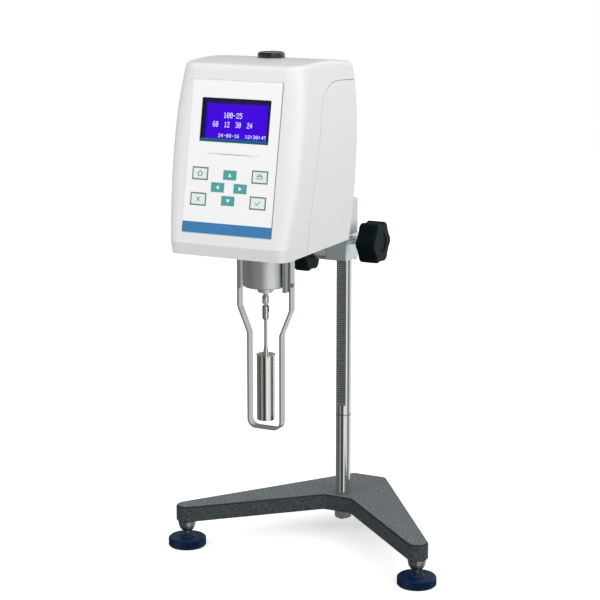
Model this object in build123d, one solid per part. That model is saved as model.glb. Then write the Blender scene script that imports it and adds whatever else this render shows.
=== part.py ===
from build123d import *
import math
import os

# Rotational viscometer on a rack-and-pinion stand.
# Model axes: Z up, front towards -Y, the operator's right at +X. Heights are above the bench.
# Plan positions are measured from the column axis until save() moves them to the part's origin.

# ---------------------------------------------------------------- driving dimensions (mm)
# Base casting and levelling feet
foot_x = 131.0
foot_y = -107.5
rear_foot_y = 56.0
arm_tip_r = 11.2
notch_y = -15.3
notch_half = 15.6
base_rear_y = 70.0
base_rear_half = 19.5
base_corner_r = 8.0
base_edge_r = 2.6
base_bottom = 28.6
base_thick = 16.5
base_wall = 4.5
stud_r = 2.5
stud_cover = 3.4
disc_r = 19.8
disc_thick = 9.7
disc_hub_r = 7.0
disc_hub_h = 2.4
disc_teeth = 64
rear_disc_r = 7.5
rear_disc_teeth = 24
disc_tooth_depth = 0.9
disc_slope = 1.4
disc_underside = 1.2
collar_top_r = 9.4
collar_low_r = 6.2
collar_h = 11.8
collar_ring_r = 9.0
collar_ring_h = 1.4

# Column, rack and pinion
column_r = 8.0
column_top = 425.0
column_thread_r = 5.0
column_washer_r = 10.5
column_washer_h = 2.0
column_nut_flats = 17.0
column_nut_h = 8.0
stop_z = 132.0
stop_ring_h = 1.6
stop_ring_proud = 0.1
stop_ring_depth = 1.0
rack_bottom = 143.3
rack_width = 10.4
rack_depth = 5.5
rack_below_surface = 2.1
gear_module = 0.75
gear_teeth = 16
gear_backlash = 0.16
rack_addendum = 0.6
pinion_shaft_r = 3.0
pinion_up = 21.3
pinion_bush_r = 4.6
pinion_bush_end = 26.8

# Slider and its knobs
slider_half = 12.0
slider_front = -20.5
slider_rear = 9.5
slider_drop = 43.9
slider_block_h = 26.7
slider_cap_h = 36.2
cap_corner_r = 3.5
cap_screw_x = 8.8
cap_screw_y = 6.4
cap_screw_r = 1.2
cap_screw_len = 36.0
knob_r = 22.5
lift_knob_thick = 20.7
lock_knob_thick = 16.5
knob_lobes = 6
knob_lobe_r = 7.4
knob_edge_r = 2.6
knob_scallop = 2.8
knob_bore_share = 0.65
knob_gap = 0.6
lock_y = -12.0
lock_up = 6.5
lock_cotter_r = 5.2
lock_cotter_floor = 3.0
lock_sleeve_r = 8.0
lock_sleeve_len = 17.2
lock_screw_r = 3.0
rod_r = 6.0
rod_up = 9.6
rod_front = -134.0
rod_block_half = 16.0
socket_r = 9.2
socket_front = -46.0
socket_floor = 2.0
rod_screw_r = 2.0
rod_flat = 0.8

# Head housing
head_bottom = 345.6
chin_h = 11.4
chin_half = 60.5
chin_corner_r = 10.0
chin_set_back = 1.5
head_front = -258.9
front_lean = 0.192
head_rear = -115.0
rear_corner_r = 7.0
crease_half = 62.2
crease_corner_r = 12.0
widest_half = 68.4
widest_z = 455.0
crown_half = 61.6
crown_z = 526.0
crown_corner_r = 18.0
head_levels = 8
roof_front_z = 505.0
roof_mid_y = -180.0
roof_mid_z = 521.8
roof_rear_z = 512.6
roof_edge_r = 6.0
head_wall = 3.0
seam_gap = 0.5
plate_thick = 3.0
shell_boss_x = 53.0
shell_boss_r = 5.5
shell_boss_h = 22.0
shell_boss_inset = 15.0
shell_screw_r = 1.5

# Front panel (measured in the plane of the panel)
panel_width = 92.6
panel_height = 141.3
panel_middle_z = 436.2
panel_thick = 0.8
panel_recess = 0.5
panel_corner_r = 1.2
display_width = 71.0
display_height = 40.4
display_up = 33.9
screen_width = 67.4
screen_height = 32.0
screen_drop = 0.7
glass_thick = 1.0
module_depth = 6.0
key_mid_x = -0.9
side_key_pitch = 30.8
side_key_width = 16.0
side_key_height = 11.4
arrow_key_pitch_x = 11.7
arrow_key_pitch_y = 11.8
arrow_key_width = 13.0
arrow_key_height = 8.2
key_row_drop = 15.7
key_travel = 0.5
key_gap = 0.3
key_plate = 1.7
key_stem_r = 2.0
board_thick = 1.6
board_standoff = 2.6
board_boss_r = 2.2
switch_r = 2.6

# Bubble level
vial_y = -165.0
vial_r = 13.0
vial_rise = 5.0
vial_window_r = 9.5
vial_window_h = 1.2
vial_bubble_r = 3.2

# Spindle, guard and rotor
axis_y = -178.5
saddle_thick = 1.6
housing_r = 21.9
housing_h = 38.7
housing_wall = 2.5
hub_r = 8.0
hub_drop = 6.6
hub_edge = 2.0
bearing_r = 3.4
spindle_r = 1.5
tab_gap = 2.4
tab_thick = 2.6
tab_half = 9.2
tab_length = 42.0
strip_thick = 2.0
strip_width = 9.0
guard_upper_drop = 18.5
guard_taper_h = 25.0
guard_lower_half = 17.4
guard_reach = 9.4
guard_corner_r = 8.0
guard_screw_up = 6.0
guard_screw_r = 0.9
coupling_r = 3.4
coupling_gap = 1.7
upper_pin_drop = 6.0
pin_spacing = 8.4
coupling_tail = 10.6
fork_reach = 3.8
link_thick = 2.0
link_neck_r = 1.9
pin_r = 0.6
rotor_r = 9.0
rotor_drop = 34.0
rotor_length = 65.1
rotor_rod_r = 1.7
rotor_cone_r = 2.8
rotor_cone_h = 9.0

# Drive inside the head
encoder_r = 20.0
encoder_thick = 1.2
lower_encoder_up = 7.4
spring_up = 11.9
spring_width = 1.5
spring_strip = 0.3
spring_outer_r = 13.0
spring_turns = 4
upper_encoder_up = 17.4
drive_shaft_r = 2.0
bridge_up = 35.4
bridge_thick = 3.0
bridge_half_x = 32.0
bridge_half_y = 27.0
pillar_r = 3.2
gearbox_r = 18.0
gearbox_h = 13.0
motor_r = 16.0
motor_h = 32.0

# Rear panel and boards
inlet_x = -38.0
inlet_z = 382.0
inlet_width = 27.6
inlet_height = 20.0
inlet_depth = 22.0
inlet_flange = 2.2
inlet_rim = 1.8
rocker_z = 402.0
rocker_width = 19.2
rocker_height = 12.9
rocker_play = 0.9
rocker_tilt = 10.0
port_x = 40.0
port_z = 380.0
port_width = 18.0
port_height = 9.0
port_depth = 11.0
main_board_width = 92.0
main_board_height = 74.0
main_board_bottom = 416.0

# Clearances and fits
running = 0.05
snug = 0.02
loose = 0.3
gap = 0.5

# ---------------------------------------------------------------- sizes that follow from them
base_top = base_bottom + base_thick
chin_top = head_bottom + chin_h
slider_bottom = head_bottom - slider_drop
slider_split = slider_bottom + slider_block_h
slider_top = slider_split + slider_cap_h
pinion_z = slider_bottom + pinion_up
lock_z = slider_bottom + lock_up
rod_z = head_bottom + rod_up
pitch_r = gear_module * gear_teeth / 2
tooth_pitch = gear_module * math.pi
rack_pitch_y = -column_r + rack_below_surface + rack_addendum
pinion_y = rack_pitch_y - pitch_r
gear_tip_r = pitch_r + gear_module
gear_root_r = pitch_r - 1.25 * gear_module
pocket_r = gear_tip_r + gap
gear_face = rack_width - 2 * loose
pocket_half = gear_face / 2 + gap
lean = math.atan(front_lean)
housing_top = head_bottom - saddle_thick
housing_bottom = housing_top - housing_h
plate_top = head_bottom + plate_thick
tab_inner = housing_r + tab_gap
tab_outer = tab_inner + tab_thick
guard_upper_half = tab_outer + strip_thick / 2
tab_bottom = housing_top - tab_length
guard_screw_z = tab_bottom + guard_screw_up
guard_upper_z = tab_bottom - guard_upper_drop
guard_lower_z = guard_upper_z - guard_taper_h
coupling_top = housing_bottom - hub_drop - coupling_gap
upper_pin_z = coupling_top - upper_pin_drop
lower_pin_z = upper_pin_z - pin_spacing
coupling_bottom = lower_pin_z - coupling_tail
rotor_top = coupling_bottom - rotor_drop
rotor_bottom = rotor_top - rotor_length
guard_bottom = rotor_bottom - guard_reach
lower_encoder_z = plate_top + lower_encoder_up
spring_z = plate_top + spring_up
upper_encoder_z = plate_top + upper_encoder_up
bridge_z = plate_top + bridge_up
disc_top = disc_thick + disc_hub_h
collar_bottom = base_bottom - collar_h
origin_y = (head_front + max(base_rear_y, rear_foot_y + rear_disc_r)) / 2
feet = {"left": (-foot_x, foot_y), "right": (foot_x, foot_y), "rear": (0.0, rear_foot_y)}
side_keys = {"upper_left": (-1, 1), "upper_right": (1, 1), "lower_left": (-1, -1), "lower_right": (1, -1)}
arrow_keys = {"up": (0, 1), "down": (0, -1), "left": (-1, 0), "right": (1, 0)}
key_mid_y = -key_row_drop - arrow_key_pitch_y

os.makedirs("parts", exist_ok=True)


# ---------------------------------------------------------------- building blocks
def save(name, shape):
    """Write one sub-part, moved so that the origin is under the middle of the whole object."""
    export_step(Pos(0, -origin_y, 0) * shape, f"parts/{name}.step")


def disc(radius, low, high, x=0.0, y=0.0):
    """Upright cylinder between two heights."""
    align = (Align.CENTER, Align.CENTER, Align.MIN)
    return Pos(x, y, low) * Cylinder(radius, high - low, align=align)


def bar_x(radius, x0, x1, y, z):
    """Cylinder along X."""
    align = (Align.CENTER, Align.CENTER, Align.MIN)
    return Pos(x0, y, z) * Rot(0, 90, 0) * Cylinder(radius, x1 - x0, align=align)


def bar_y(radius, y0, y1, x, z):
    """Cylinder along Y."""
    align = (Align.CENTER, Align.CENTER, Align.MIN)
    return Pos(x, y0, z) * Rot(-90, 0, 0) * Cylinder(radius, y1 - y0, align=align)


def block(x0, x1, y0, y1, z0, z1):
    """Box between two corners."""
    return Pos(x0, y0, z0) * Box(x1 - x0, y1 - y0, z1 - z0, align=(Align.MIN, Align.MIN, Align.MIN))


def turned(points, x=0.0, y=0.0):
    """Solid of revolution about a vertical axis; points are (radius, height)."""
    face = Plane.XZ * make_face(Polyline(*points, close=True))
    return Pos(x, y, 0) * revolve(face, Axis.Z)


def on_panel(x, up, depth, shape):
    """Place a shape in the panel's plane; depth is measured inwards from the front face."""
    y_middle = head_front + (panel_middle_z - chin_top) * front_lean
    plane = Plane((0, y_middle, panel_middle_z), x_dir=(1, 0, 0),
                  z_dir=(0, -math.cos(lean), math.sin(lean)))
    return plane * Pos(x, up, -depth) * shape


def plate(width, height, depth, corner=0.0):
    """Flat plate whose front is at z = 0 and whose back is at z = -depth."""
    outline = RectangleRounded(width, height, corner) if corner else Rectangle(width, height)
    return extrude(outline, -depth)


# ---------------------------------------------------------------- base and levelling feet
def tangent_point(point, centre, radius, side):
    """Where a line from a point touches a circle; side is +1 or -1."""
    dx = point[0] - centre[0]
    dy = point[1] - centre[1]
    angle = math.atan2(dy, dx) + side * math.acos(radius / math.hypot(dx, dy))
    return (centre[0] + radius * math.cos(angle), centre[1] + radius * math.sin(angle))


def base_outline():
    """Plan of the casting: two arms that spread forwards from a blunt rear end."""
    tip = (foot_x, foot_y)
    rear = (base_rear_half, base_rear_y)
    notch = (notch_half, notch_y)
    outer = tangent_point(rear, tip, arm_tip_r, -1)
    inner = tangent_point(notch, tip, arm_tip_r, 1)
    corners = ((0, notch_y), notch, inner, tip, outer, rear, (0, base_rear_y))
    arm = make_face(Polyline(*corners, close=True))
    arm += Pos(foot_x, foot_y) * Circle(arm_tip_r)
    outline = arm + mirror(arm, Plane.YZ)
    sharp = [v for v in outline.vertices()
             if min(abs(abs(v.X) - base_rear_half), abs(abs(v.X) - notch_half)) < 0.01]
    return fillet(sharp, base_corner_r)


def make_base():
    outline = base_outline()
    body = extrude(Pos(0, 0, base_bottom) * outline, base_thick)
    body = fillet(body.faces().sort_by(Axis.Z)[-1].edges(), base_edge_r)
    hollow = extrude(Pos(0, 0, base_bottom) * offset(outline, -base_wall), base_thick - base_wall)
    hollow -= disc(column_washer_r + base_wall, base_bottom, base_top)
    for x, y in feet.values():
        hollow -= disc(arm_tip_r, base_bottom, base_top, x, y)
        body -= disc(stud_r + running, base_bottom, base_top - stud_cover + gap, x, y)
    body -= hollow
    body -= disc(column_thread_r + snug, base_bottom, base_top)
    return body


def make_level_collars():
    """Three cup-shaped sleeves under the arms; the levelling studs run through them."""
    top = base_bottom
    ring = top - collar_ring_h
    collars = Part()
    for x, y in feet.values():
        collars += turned((
            (stud_r + running, collar_bottom), (collar_low_r - 1.4, collar_bottom),
            (collar_low_r, collar_bottom + 0.7), (collar_low_r + 1.6, collar_bottom + 2.8),
            (collar_top_r - 0.6, collar_bottom + 5.8), (collar_top_r, ring - 1.2), (collar_top_r, ring),
            (collar_ring_r, ring), (collar_ring_r, top), (stud_r + running, top)), x, y)
    return collars


def make_level_stud(x, y):
    return disc(stud_r, disc_underside, base_top - stud_cover, x, y)


def make_level_disc(x, y, radius, teeth):
    """Serrated hand disc that the instrument stands on."""
    points = []
    for i in range(2 * teeth):
        reach = radius if i % 2 else radius - disc_tooth_depth
        angle = math.pi * i / teeth
        points.append((reach * math.cos(angle), reach * math.sin(angle)))
    rim = extrude(make_face(Polyline(*points, close=True)), disc_thick)
    hub_r = min(disc_hub_r, radius - disc_slope - 1.2)
    envelope = turned((
        (0, 0), (radius - disc_slope, 0), (radius, disc_slope), (radius, disc_thick - disc_slope),
        (radius - disc_slope, disc_thick), (hub_r + 1.0, disc_thick), (hub_r, disc_top - 0.6),
        (hub_r - 0.6, disc_top), (0, disc_top)))
    body = (rim + disc(hub_r + 1.0, disc_thick, disc_top)) & envelope
    body -= disc(stud_r + snug, disc_underside, disc_top)
    return Pos(x, y, 0) * body


def make_column():
    body = disc(column_r, base_top, column_top)
    body = chamfer(body.faces().sort_by(Axis.Z)[-1].edges(), 1.0)
    thread_bottom = base_bottom - column_washer_h - column_nut_h - 2.0
    body += disc(column_thread_r, thread_bottom, base_top)
    slot_half = rack_width / 2 + snug
    slot_back = -column_r + rack_depth
    body -= block(-slot_half, slot_half, -column_r - 1, slot_back, rack_bottom, column_top)
    high = stop_z + stop_ring_h
    return body - (disc(column_r + 1, stop_z, high) - disc(column_r - stop_ring_depth, stop_z, high))


def make_column_nut():
    """Nut and washer that hold the column in the base."""
    high = base_bottom - column_washer_h
    washer = disc(column_washer_r, high, base_bottom)
    hexagon = RegularPolygon(column_nut_flats / math.sqrt(3), 6)
    nut = extrude(Pos(0, 0, high - column_nut_h) * hexagon, column_nut_h)
    corner = column_nut_flats / math.sqrt(3)
    nut &= turned((
        (0, high - column_nut_h), (corner - 1.4, high - column_nut_h),
        (corner + 0.3, high - column_nut_h + 1.2),
        (corner + 0.3, high - 1.2), (corner - 1.4, high), (0, high)))
    bore = disc(column_thread_r + snug, high - column_nut_h, base_bottom)
    return Compound([nut - bore, washer - bore])


def make_stop_ring():
    low = stop_z + snug
    high = stop_z + stop_ring_h - snug
    ring = disc(column_r + stop_ring_proud, low, high)
    ring -= disc(column_r - stop_ring_depth + snug, low, high)
    opening = block(-1.6, 1.6, 0, column_r + 2, low - 1, high + 1)
    return ring - opening


# ---------------------------------------------------------------- rack and pinion
def involute(angle):
    return math.tan(angle) - angle


def make_rack():
    """Straight rack let into the column's front; one tooth is level with the pinion's axis."""
    pressure = math.radians(20)
    tip_y = rack_pitch_y - rack_addendum
    root_y = rack_pitch_y + 1.25 * gear_module
    back_y = -column_r + rack_depth - snug
    half = (tooth_pitch - gear_backlash) / 4
    tip_half = half - rack_addendum * math.tan(pressure)
    root_half = half + (root_y - rack_pitch_y) * math.tan(pressure)
    low = rack_bottom + snug
    high = column_top - 2.0
    points = [(back_y, low), (root_y, low)]
    first = math.ceil((low + root_half - pinion_z) / tooth_pitch)
    last = math.floor((high - root_half - pinion_z) / tooth_pitch)
    for i in range(first, last + 1):
        z = pinion_z + i * tooth_pitch
        points += [(root_y, z - root_half), (tip_y, z - tip_half), (tip_y, z + tip_half),
                   (root_y, z + root_half)]
    points += [(root_y, high), (back_y, high)]
    return extrude(Plane.YZ * make_face(Polyline(*points, close=True)), rack_width / 2, both=True)


def pinion_profile():
    """Involute gear outline with a tooth gap facing the rack."""
    pressure = math.radians(20)
    base_r = pitch_r * math.cos(pressure)
    half_at_pitch = math.pi / (2 * gear_teeth) - gear_backlash / (4 * pitch_r)
    radii = [max(base_r, gear_root_r) + (gear_tip_r - base_r) * i / 4 for i in range(5)]
    flank = [(r, half_at_pitch + involute(pressure) - involute(math.acos(base_r / r))) for r in radii]
    flank.insert(0, (gear_root_r, flank[0][1]))
    points = []
    for tooth in range(gear_teeth):
        middle = (tooth + 0.5) * 2 * math.pi / gear_teeth
        side = [(r, middle - a) for r, a in flank] + [(r, middle + a) for r, a in reversed(flank)]
        points += [(r * math.cos(a), r * math.sin(a)) for r, a in side]
    return make_face(Polyline(*points, close=True))


def make_pinion():
    gear = Plane.YZ * extrude(pinion_profile(), gear_face / 2, both=True)
    shaft_end = pinion_bush_end + knob_gap + knob_bore_share * lift_knob_thick
    shaft = bar_x(pinion_shaft_r, -slider_half + 2.0, shaft_end, 0, 0)
    return Pos(0, pinion_y, pinion_z) * (gear + shaft)


def make_pinion_bush():
    bush = bar_x(pinion_bush_r, pocket_half, pinion_bush_end, pinion_y, pinion_z)
    return bush - bar_x(pinion_shaft_r + running, pocket_half, pinion_bush_end, pinion_y, pinion_z)


# ---------------------------------------------------------------- slider
def pinion_room():
    """Space for the pinion, its shaft and its bush inside the slider."""
    room = bar_x(pocket_r, -pocket_half, pocket_half, pinion_y, pinion_z)
    room += bar_x(pinion_shaft_r + running, -slider_half + 1.6, 0, pinion_y, pinion_z)
    room += bar_x(pinion_bush_r + snug, 0, slider_half + 1, pinion_y, pinion_z)
    return room


def cap_screw_places():
    return [(-cap_screw_x, cap_screw_y), (cap_screw_x, cap_screw_y)]


def make_slider_block():
    body = block(-slider_half, slider_half, slider_front, slider_rear, slider_bottom, slider_split)
    body = chamfer(body.edges().filter_by(Axis.Z), 0.8)
    body = chamfer(body.faces().sort_by(Axis.Z)[0].edges(), 0.6)
    body -= disc(column_r + running, slider_bottom, slider_split)
    body -= pinion_room()
    body -= bar_x(lock_cotter_r + running, -slider_half - 1, slider_half - lock_cotter_floor, lock_y,
                  lock_z)
    for x, y in cap_screw_places():
        body -= disc(cap_screw_r + snug, slider_bottom, slider_split, x, y)
    return body


def make_slider_cap():
    body = block(-slider_half, slider_half, slider_front, slider_rear, slider_split, slider_top)
    body = fillet(body.edges().filter_by(Axis.Z), cap_corner_r)
    body = fillet(body.faces().sort_by(Axis.Z)[-1].edges(), 1.2)
    body += bar_y(socket_r, socket_front, slider_front + cap_corner_r, 0, rod_z)
    body -= disc(column_r + running, slider_split, slider_top)
    body -= pinion_room()
    socket_end = -column_r - running - socket_floor
    body -= bar_y(rod_r + snug, socket_front, socket_end, 0, rod_z)
    screw_y = (socket_front + slider_front) / 2
    body -= disc(rod_screw_r + snug, rod_z, slider_top + socket_r, 0, screw_y)
    for x, y in cap_screw_places():
        body -= disc(cap_screw_r + snug, slider_split, slider_bottom + cap_screw_len + 1.0, x, y)
    return body


def make_slider_screws():
    """Two screws up through the block into the cap, and the grub screw on the head's rod."""
    screws = Part()
    for x, y in cap_screw_places():
        screws += disc(cap_screw_r, slider_bottom, slider_bottom + cap_screw_len, x, y)
        screws += disc(1.9 * cap_screw_r, slider_bottom - 1.5, slider_bottom, x, y)
    screw_y = (socket_front + slider_front) / 2
    seat = rod_z + rod_r - rod_flat
    top = rod_z + socket_r + 1.0
    grub = disc(rod_screw_r, seat, top, 0, screw_y)
    return screws + (grub - disc(0.5 * rod_screw_r, top - 1.6, top, 0, screw_y))


def make_head_rod():
    socket_end = -column_r - running - socket_floor
    rod = bar_y(rod_r, rod_front, socket_end - snug, 0, rod_z)
    screw_y = (socket_front + slider_front) / 2
    seat = rod_z + rod_r - rod_flat
    return rod - block(-rod_r, rod_r, screw_y - 4, screw_y + 4, seat, rod_z + rod_r)


def knob_shape(thick):
    """Hand knob with soft lobes; its inner face is at z = 0 and its axis is Z."""
    core = Circle(knob_r - knob_scallop)
    for i in range(knob_lobes):
        core += Rot(0, 0, 360 / knob_lobes * i) * Pos(knob_r - knob_lobe_r, 0) * Circle(knob_lobe_r)
    core = fillet(core.vertices(), 0.8 * knob_lobe_r)
    body = extrude(core, thick)
    body = fillet(body.faces().filter_by(Axis.Z).edges(), knob_edge_r)
    dish = disc(0.45 * knob_r, thick - 0.8, thick)
    return body - dish


def make_lift_knob():
    turn = Rot(0, 90, 0) * Rot(0, 0, 180 / knob_lobes)
    body = Pos(pinion_bush_end + knob_gap, pinion_y, pinion_z) * turn * knob_shape(lift_knob_thick)
    shaft_end = pinion_bush_end + knob_gap + knob_bore_share * lift_knob_thick
    return body - bar_x(pinion_shaft_r + snug, 0, shaft_end + snug, pinion_y, pinion_z)


def lock_knob_face():
    return -slider_half - lock_sleeve_len - knob_gap


def make_lock_sleeve():
    start = -slider_half - lock_sleeve_len
    sleeve = bar_x(lock_sleeve_r, start, -slider_half, lock_y, lock_z)
    return sleeve - bar_x(lock_screw_r + running, start, -slider_half, lock_y, lock_z)


def make_lock_cotter():
    """Draw cotter that grips the column when the lock knob is tightened."""
    end = slider_half - lock_cotter_floor - gap
    cotter = bar_x(lock_cotter_r, -slider_half, end, lock_y, lock_z)
    cotter -= disc(column_r + 2 * running, lock_z - 2 * lock_cotter_r, lock_z + 2 * lock_cotter_r)
    return cotter - bar_x(lock_screw_r + running, -slider_half, end, lock_y, lock_z)


def make_lock_screw():
    start = lock_knob_face() - knob_bore_share * lock_knob_thick
    return bar_x(lock_screw_r, start, slider_half - lock_cotter_floor - 2 * gap, lock_y, lock_z)


def make_lock_knob():
    face = lock_knob_face()
    turn = Rot(0, -90, 0) * Rot(0, 0, 180 / knob_lobes)
    body = Pos(face, lock_y, lock_z) * turn * knob_shape(lock_knob_thick)
    return body - bar_x(lock_screw_r + snug, face - knob_bore_share * lock_knob_thick - snug, 0,
                        lock_y, lock_z)


# ---------------------------------------------------------------- head housing
def head_section(z, half, front, front_r, inset):
    """Plan section of the head, drawn in by inset."""
    rear = head_rear - inset
    front = front + inset
    outline = Rectangle(2 * (half - inset), rear - front)
    outline = fillet(outline.vertices().group_by(Axis.Y)[0], front_r - inset)
    outline = fillet(outline.vertices().group_by(Axis.Y)[-1], rear_corner_r - inset)
    return Pos(0, (front + rear) / 2, z) * outline


def chin_section(inset):
    return head_section(head_bottom, chin_half, head_front + chin_set_back, chin_corner_r, inset)


def head_half(z):
    """Half width of the head above the chin: its sides bulge gently in the middle."""
    if z < widest_z:
        return widest_half - (widest_half - crease_half) * ((widest_z - z) / (widest_z - chin_top)) ** 2
    return widest_half - (widest_half - crown_half) * ((z - widest_z) / (crown_z - widest_z)) ** 2


def head_form(inset=0.0):
    """Outer form of the head, or its inside when inset is the wall thickness."""
    levels = []
    for i in range(head_levels):
        share = i / (head_levels - 1)
        z = chin_top + share * (crown_z - chin_top)
        corner = crease_corner_r + (crown_corner_r - crease_corner_r) * math.sin(share * math.pi / 2)
        levels.append(head_section(z, head_half(z), head_front + (z - chin_top) * front_lean, corner,
                                   inset))
    body = loft([chin_section(inset), levels[0]], ruled=True) + loft(levels)
    far_front = head_front - 40
    far_rear = head_rear + 20
    front_end = (far_front, roof_front_z - inset)
    rear_end = (far_rear, roof_rear_z - inset)
    roof = ThreePointArc(front_end, (roof_mid_y, roof_mid_z - inset), rear_end)
    ends = Polyline(rear_end, (far_rear, head_bottom - 40), (far_front, head_bottom - 40), front_end)
    return body & extrude(Plane.YZ * make_face(roof + ends), 2 * chin_half, both=True)


def head_shell():
    """Hollow head, open underneath, before it is split into shell and cover."""
    outer = head_form()
    outer = fillet(outer.faces().sort_by(Axis.Z)[-1].edges(), roof_edge_r)
    inner = head_form(head_wall)
    inner += extrude(chin_section(head_wall), -2 * head_wall)
    return outer - inner


def seam_region(shift):
    """Everything behind the side seam; shift moves the seam forwards and upwards."""
    low = head_bottom - 20
    far = head_rear + 40
    seam = Spline((-212 - shift, head_bottom), (-213.4 - shift, 382), (-208 - shift, 421),
                  (-199.5 - shift, 463), (-194 - shift, 484 + 0.5 * shift),
                  (-181 - 0.5 * shift, 497 + shift), (-155, 502 + shift),
                  (-111, 501.2 + shift))
    rest = Polyline((-111, 501.2 + shift), (far, 501.2 + shift), (far, low), (-212 - shift, low),
                    (-212 - shift, head_bottom))
    return extrude(Plane.YZ * make_face(seam + rest), 2 * chin_half, both=True)


def shell_boss_places():
    front = head_front + chin_set_back + shell_boss_inset
    rear = head_rear - shell_boss_inset
    return {name: [(-shell_boss_x, y), (shell_boss_x, y)]
            for name, y in (("front", front), ("rear", rear))}


def add_bosses(body, places):
    for x, y in places:
        body += disc(shell_boss_r, plate_top, plate_top + shell_boss_h, x, y)
        body -= disc(shell_screw_r + snug, plate_top, plate_top + 12.0, x, y)
    return body


def panel_window(shape_width, shape_height, x, up, deep):
    return on_panel(x, up, -1.0, plate(shape_width, shape_height, deep + 1.0))


def key_list():
    """Name, centre and size of every key on the panel."""
    keys = []
    for name, (right, up) in side_keys.items():
        place = (key_mid_x + right * side_key_pitch, key_mid_y + up * arrow_key_pitch_y)
        keys.append((name, place, (side_key_width, side_key_height)))
    for name, (right, up) in arrow_keys.items():
        place = (key_mid_x + right * arrow_key_pitch_x, key_mid_y + up * arrow_key_pitch_y)
        keys.append((name, place, (arrow_key_width, arrow_key_height)))
    return keys


def keypad_board_size():
    width = 2 * side_key_pitch + side_key_width + 4
    height = 2 * arrow_key_pitch_y + side_key_height + 4
    return width, height


def keypad_corners():
    width, height = keypad_board_size()
    x = width / 2 - 3
    up = height / 2 - 3
    return [(key_mid_x + sx * x, key_mid_y + sy * up) for sx in (-1, 1) for sy in (-1, 0.08)]


def make_front_shell(shell):
    body = shell - seam_region(seam_gap / 2)
    body -= on_panel(0, 0, -2.0, plate(panel_width + loose, panel_height + loose, panel_recess + 2.0))
    body -= panel_window(display_width - 3, display_height - 3, 0, display_up, 3 * head_wall)
    key_depth = key_plate + key_travel - panel_thick + 2 * panel_recess
    for name, (x, up), (width, height) in key_list():
        body -= panel_window(width + 2 * key_gap, height + 2 * key_gap, x, up, key_depth)
        body -= on_panel(x, up, 0, extrude(Circle(key_stem_r + loose), -2 * head_wall))
    for x, up in keypad_corners():
        body += on_panel(x, up, head_wall - loose,
                         extrude(Circle(board_boss_r), -(board_standoff + loose)))
    body = add_bosses(body, shell_boss_places()["front"])
    body -= disc(vial_r + loose, roof_mid_z - 1.3, roof_mid_z + 10, 0, vial_y)
    return body


def rear_cutouts():
    deep = 2 * head_wall
    y0 = head_rear - deep
    y1 = head_rear + deep
    cut = bar_y(rod_r + gap, y0, y1, 0, rod_z)
    for x, width, low, high in (
        (inlet_x, inlet_width, inlet_z - inlet_height / 2, rocker_z + rocker_height / 2),
        (port_x, port_width, port_z - port_height / 2, port_z + port_height / 2),
    ):
        cut += block(x - width / 2 - snug, x + width / 2 + snug, y0, y1, low - snug, high + snug)
    return cut


def main_board_corners():
    x = main_board_width / 2 - 4
    low = main_board_bottom + 4
    high = main_board_bottom + main_board_height - 4
    return [(-x, low), (x, low), (-x, high), (x, high)]


def make_rear_cover(shell):
    body = shell & seam_region(-seam_gap / 2)
    body -= rear_cutouts()
    for x, z in main_board_corners():
        body += bar_y(3.0, head_rear - head_wall - 5.0, head_rear - head_wall + 0.5, x, z)
    return add_bosses(body, shell_boss_places()["rear"])


def make_floor_casting():
    """Metal floor of the head that everything inside stands on, with the block for the support rod."""
    body = extrude(chin_section(head_wall + loose), plate_thick)
    rear = head_rear - head_wall - loose
    body += block(-rod_block_half, rod_block_half, rod_front, rear, plate_top, rod_z + rod_r + 4)
    body -= bar_y(rod_r + snug, rod_front - 1, rear + 1, 0, rod_z)
    for places in shell_boss_places().values():
        for x, y in places:
            body -= disc(shell_screw_r + snug, head_bottom, plate_top, x, y)
    return body - disc(bearing_r + snug, head_bottom, plate_top, 0, axis_y)


def make_shell_screws():
    screws = Part()
    for places in shell_boss_places().values():
        for x, y in places:
            screws += disc(shell_screw_r, head_bottom, plate_top + 10.0, x, y)
            screws += disc(1.9 * shell_screw_r, head_bottom - 1.8, head_bottom, x, y)
    return screws


# ---------------------------------------------------------------- front panel
def make_panel_overlay():
    body = on_panel(0, 0, panel_recess - panel_thick,
                    plate(panel_width, panel_height, panel_thick, panel_corner_r))
    body -= panel_window(display_width, display_height, 0, display_up, 2.0)
    for name, (x, up), (width, height) in key_list():
        body -= panel_window(width + 2 * key_gap, height + 2 * key_gap, x, up, 2.0)
    return body


def make_display_glass():
    """Clear window that drops into the overlay and rests on the shell."""
    window = plate(display_width - loose, display_height - loose, panel_thick)
    return on_panel(0, display_up, panel_recess - panel_thick, window)


def make_display_frame():
    """Dark bezel around the screen, behind the window."""
    outer = plate(display_width - 3 - loose, display_height - 3 - loose, head_wall - panel_recess)
    opening = Pos(0, -screen_drop, 1) * plate(screen_width - 3, screen_height, head_wall + 2)
    return on_panel(0, display_up, panel_recess, outer - opening)


def make_display_module():
    """Liquid crystal module held against the back of the shell."""
    body = plate(display_width + 8, display_height + 6, module_depth)
    return on_panel(0, display_up, head_wall, body)


def make_key(width, height, x, up):
    top = panel_recess - panel_thick - 0.1
    body = extrude(RectangleRounded(width, height, 0.6), -key_plate)
    body += Pos(0, 0, -key_plate) * extrude(Circle(key_stem_r), -(head_wall + 1.0 - top - key_plate))
    return on_panel(x, up, top, body)


def make_keypad_board():
    width, height = keypad_board_size()
    depth = head_wall + board_standoff
    body = on_panel(key_mid_x, key_mid_y, depth, plate(width, height, board_thick))
    rise = 1.0 + key_travel + 0.1
    for name, (x, up), size in key_list():
        body += on_panel(x, up, head_wall + rise, extrude(Circle(switch_r), -(board_standoff - rise)))
    return body


# ---------------------------------------------------------------- bubble level
def vial_seat():
    return roof_mid_z - 1.3


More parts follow.
